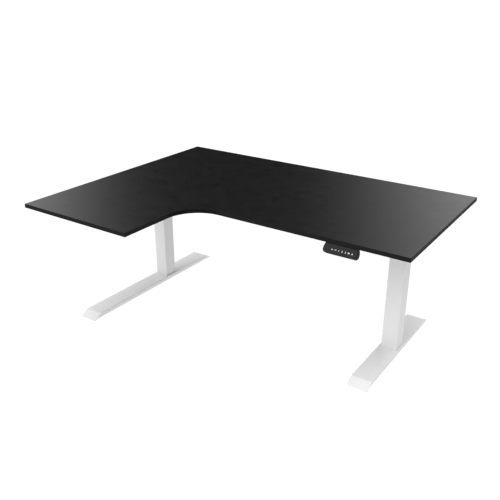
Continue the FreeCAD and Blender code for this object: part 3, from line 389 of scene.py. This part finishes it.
def bar(start, end, width=STROKE):
    """One straight stroke with square ends, as the corners of a flat quad."""
    along = (end - start).normalized()
    side = Vector((-along.y, along.x)) * (width / 2)
    start = start - along * (width / 3)
    end = end + along * (width / 3)
    return [start + side, end + side, end - side, start - side]


def arc(centre, radius, start, end, steps=10):
    """Points round part of a circle, between two angles in degrees."""
    points = []
    for step in range(steps + 1):
        angle = math.radians(start + (end - start) * step / steps)
        points.append(centre + Vector((math.cos(angle), math.sin(angle))) * radius)
    return points


def strokes(points, width=STROKE):
    return [bar(a, b, width) for a, b in zip(points, points[1:])]


def chevron(direction):
    half = Vector((3.3 * MM, 1.5 * MM * direction))
    left = Vector((-half.x, -half.y))
    right = Vector((half.x, -half.y))
    tip = Vector((0.0, half.y))
    return strokes([left, tip, right], 1.4 * MM)


def digit_one():
    top = Vector((0.2 * MM, SYMBOL_HEIGHT / 2))
    bottom = Vector((0.2 * MM, -SYMBOL_HEIGHT / 2))
    flag = top + Vector((-1.1 * MM, -0.9 * MM))
    return strokes([flag, top, bottom])


def digit_two():
    radius = 1.25 * MM
    centre = Vector((0.0, SYMBOL_HEIGHT / 2 - radius))
    low = -SYMBOL_HEIGHT / 2
    points = arc(centre, radius, 165, -30)
    points += [Vector((-radius, low)), Vector((radius, low))]
    return strokes(points)


def digit_three():
    radius = SYMBOL_HEIGHT / 4
    upper = arc(Vector((0.0, radius)), radius, 150, -90)
    lower = arc(Vector((0.0, -radius)), radius, 90, -150)
    return strokes(upper + lower)


def letter_m():
    x = 2.2 * MM
    y = SYMBOL_HEIGHT / 2
    points = [Vector((-x, -y)), Vector((-x, y)), Vector((0.0, -0.3 * y)), Vector((x, y)), Vector((x, -y))]
    return strokes(points, 1.5 * MM)


def padlock():
    low = -SYMBOL_HEIGHT / 2
    half = 1.6 * MM
    body = [Vector((-half, low)), Vector((half, low)), Vector((half, 0.3 * MM)), Vector((-half, 0.3 * MM))]
    shackle = [Vector((-0.95 * MM, 0.2 * MM))] + arc(Vector((0.0, 1.1 * MM)), 0.95 * MM, 180, 0)
    shackle.append(Vector((0.95 * MM, 0.2 * MM)))
    return [body] + strokes(shackle, 0.9 * MM)


SYMBOLS = {
    "up": chevron(1.0),
    "down": chevron(-1.0),
    "one": digit_one(),
    "two": digit_two(),
    "three": digit_three(),
    "memory": letter_m(),
    "lock": padlock(),
}


def key_frame(name):
    """Centre of a key's top face and its axes: across, up the face, and outwards."""
    out = -Vector(JOINTS["press_" + name]["axis"])
    across = Vector((1.0, 0.0, 0.0))
    up = out.cross(across)
    points = [vertex.co for vertex in NODES["key_" + name].data.vertices]
    reach = max(point.dot(out) for point in points)
    face = [point for point in points if point.dot(out) > reach - 0.01 * MM]
    middle_x = (min(p.x for p in face) + max(p.x for p in face)) / 2
    middle_up = (min(p.dot(up) for p in face) + max(p.dot(up) for p in face)) / 2
    return across * middle_x + up * middle_up + out * reach, across, up, out


def print_symbol(name, quads):
    """Thin raised ink on one key; each stroke is a closed slab of its own."""
    centre, across, up, out = key_frame(name)
    vertices = []
    faces = []
    for level, quad in enumerate(quads):
        base = len(vertices)
        lift = INK + 0.002 * MM * level
        for height in (0.0, lift):
            vertices += [centre + across * p.x + up * p.y + out * height for p in quad]
        faces += [tuple(base + n for n in (3, 2, 1, 0)), tuple(base + n for n in (4, 5, 6, 7))]
        for side in range(4):
            after = (side + 1) % 4
            faces.append((base + side, base + after, base + 4 + after, base + 4 + side))
    mesh = bpy.data.meshes.new("symbol_" + name)
    mesh.from_pydata(vertices, [], faces)
    mesh.materials.append(SYMBOL)
    piece = bpy.data.objects.new("symbol_" + name, mesh)
    bpy.context.scene.collection.objects.link(piece)
    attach(piece, "key_" + name)


for key_name, symbol in SYMBOLS.items():
    print_symbol(key_name, symbol)


# ---------------------------------------------------------------- floor, light and camera
FLOOR_HALF = 60.0                    # the floor reaches this far, in metres
FLOOR_GLOW = 1.0
ZENITH = 1.9                         # radiance of the white tent straight overhead
BACKDROP = 1.15                      # low down behind the desk
FRONT_LOW = 0.05                     # low down in front of it
FRONT_HIGH = 2.4                     # a high bank of light in front of it
RIGHT_SHADE = 0.1                    # share of that light left on the right hand side
LEFT_SHADE = 0.35                    # and on the left hand side
LEFT_START = (math.radians(60), math.radians(76))    # where the left side dims, turned from +Y
LEFT_END = (math.radians(110), math.radians(130))    # and where it is bright again
FLAG_MIDDLE = math.radians(36.8)     # the dark flag behind the desk, turned from +Y towards -X
FLAG_HALF = math.radians(6.8)        # fully dark part, to each side of its middle
FLAG_RIGHT_FADE = math.radians(17.0)
FLAG_LEFT_FADE = math.radians(12.0)
VIEW_POINT = (1.4665, -2.1876, 1.5575)
VIEW_ANGLES = (66.26, -0.05, 34.27)
LENS = 45.38


def stage_floor():
    """Wide white floor that glows evenly, so it stays plain under soft light."""
    mesh = bpy.data.meshes.new("floor")
    corners = [(FLOOR_HALF * x, FLOOR_HALF * y, 0) for x, y in ((-1, -1), (1, -1), (1, 1), (-1, 1))]
    mesh.from_pydata(corners, [], [(0, 1, 2, 3)])
    floor = bpy.data.objects.new("floor", mesh)
    bpy.context.scene.collection.objects.link(floor)
    material = bpy.data.materials.new("studio_floor")
    material.use_nodes = True
    shader = material.node_tree.nodes["Principled BSDF"]
    shader.inputs["Base Color"].default_value = (0.05, 0.05, 0.05, 1.0)
    shader.inputs["Roughness"].default_value = 1.0
    shader.inputs["Specular IOR Level"].default_value = 0.0
    shader.inputs["Emission Color"].default_value = (1.0, 1.0, 1.0, 1.0)
    shader.inputs["Emission Strength"].default_value = FLOOR_GLOW
    material.cycles.emission_sampling = "NONE"
    mesh.materials.append(material)


class Sky:
    """Arithmetic on the sky's nodes."""

    def __init__(self, name):
        self.world = bpy.data.worlds.new(name)
        self.world.use_nodes = True
        self.nodes = self.world.node_tree.nodes
        self.links = self.world.node_tree.links

    def math(self, operation, first, second=0.0):
        node = self.nodes.new("ShaderNodeMath")
        node.operation = operation
        for socket, value in zip(node.inputs, (first, second)):
            if isinstance(value, (int, float)):
                socket.default_value = value
            else:
                self.links.new(value, socket)
        return node.outputs["Value"]

    def ramp(self, value, start, end, low=0.0, high=1.0, kind="LINEAR"):
        node = self.nodes.new("ShaderNodeMapRange")
        node.interpolation_type = kind
        numbers = (("Value", value), ("From Min", start), ("From Max", end), ("To Min", low), ("To Max", high))
        for name, number in numbers:
            if isinstance(number, (int, float)):
                node.inputs[name].default_value = number
            else:
                self.links.new(number, node.inputs[name])
        return node.outputs["Result"]


def studio_sky():
    """White tent all round, with one tall dark flag standing behind the desk to the left.

    Seen directly, the tent is the same plain white as the floor from every side.
    """
    sky = Sky("studio")
    bpy.context.scene.world = sky.world
    direction = sky.nodes.new("ShaderNodeTexCoord").outputs["Generated"]
    split = sky.nodes.new("ShaderNodeSeparateXYZ")
    sky.links.new(direction, split.inputs["Vector"])
    heading = sky.math("ARCTAN2", sky.math("MULTIPLY", split.outputs["X"], -1.0), split.outputs["Y"])
    offset = sky.math("SUBTRACT", heading, FLAG_MIDDLE)
    left = sky.ramp(offset, FLAG_HALF, FLAG_HALF + FLAG_LEFT_FADE)
    right = sky.ramp(offset, -FLAG_HALF, -FLAG_HALF - FLAG_RIGHT_FADE)
    side = sky.math("POWER", sky.math("MAXIMUM", left, right), 2.0)
    above = sky.ramp(split.outputs["Z"], 0.70, 0.90, kind="SMOOTHSTEP")
    back = sky.ramp(split.outputs["Z"], 0.0, 1.0, BACKDROP, ZENITH)
    front = sky.ramp(split.outputs["Z"], 0.1, 0.55, FRONT_LOW, FRONT_HIGH)
    tent = sky.ramp(split.outputs["Y"], -0.1, 0.7, front, back)
    right_low = sky.ramp(split.outputs["X"], 0.0, 0.8, 1.0, RIGHT_SHADE)
    right_shade = sky.math("MAXIMUM", right_low, sky.ramp(split.outputs["Z"], 0.68, 0.9))
    left_back = sky.ramp(heading, *LEFT_START, 1.0, LEFT_SHADE)
    left_front = sky.ramp(heading, *LEFT_END, LEFT_SHADE, 1.0)
    left_shade = sky.math("MAXIMUM", left_back, left_front)
    light = sky.math("MULTIPLY", sky.math("MAXIMUM", side, above), tent)
    light = sky.math("MULTIPLY", light, sky.math("MULTIPLY", right_shade, left_shade))
    seen = sky.nodes.new("ShaderNodeLightPath").outputs["Is Camera Ray"]
    light = sky.math("MAXIMUM", light, seen)
    sky.links.new(light, sky.nodes["Background"].inputs["Strength"])
    sky.nodes["Background"].inputs["Color"].default_value = (1.0, 1.0, 1.0, 1.0)


def camera():
    lens = bpy.data.cameras.new("view")
    lens.lens = LENS
    lens.sensor_width = 36.0
    lens.clip_end = 200.0
    viewer = bpy.data.objects.new("view", lens)
    viewer.location = VIEW_POINT
    viewer.rotation_euler = [math.radians(angle) for angle in VIEW_ANGLES]
    bpy.context.scene.collection.objects.link(viewer)
    bpy.context.scene.camera = viewer


stage_floor()
studio_sky()
camera()
bpy.context.scene.view_settings.view_transform = "Standard"
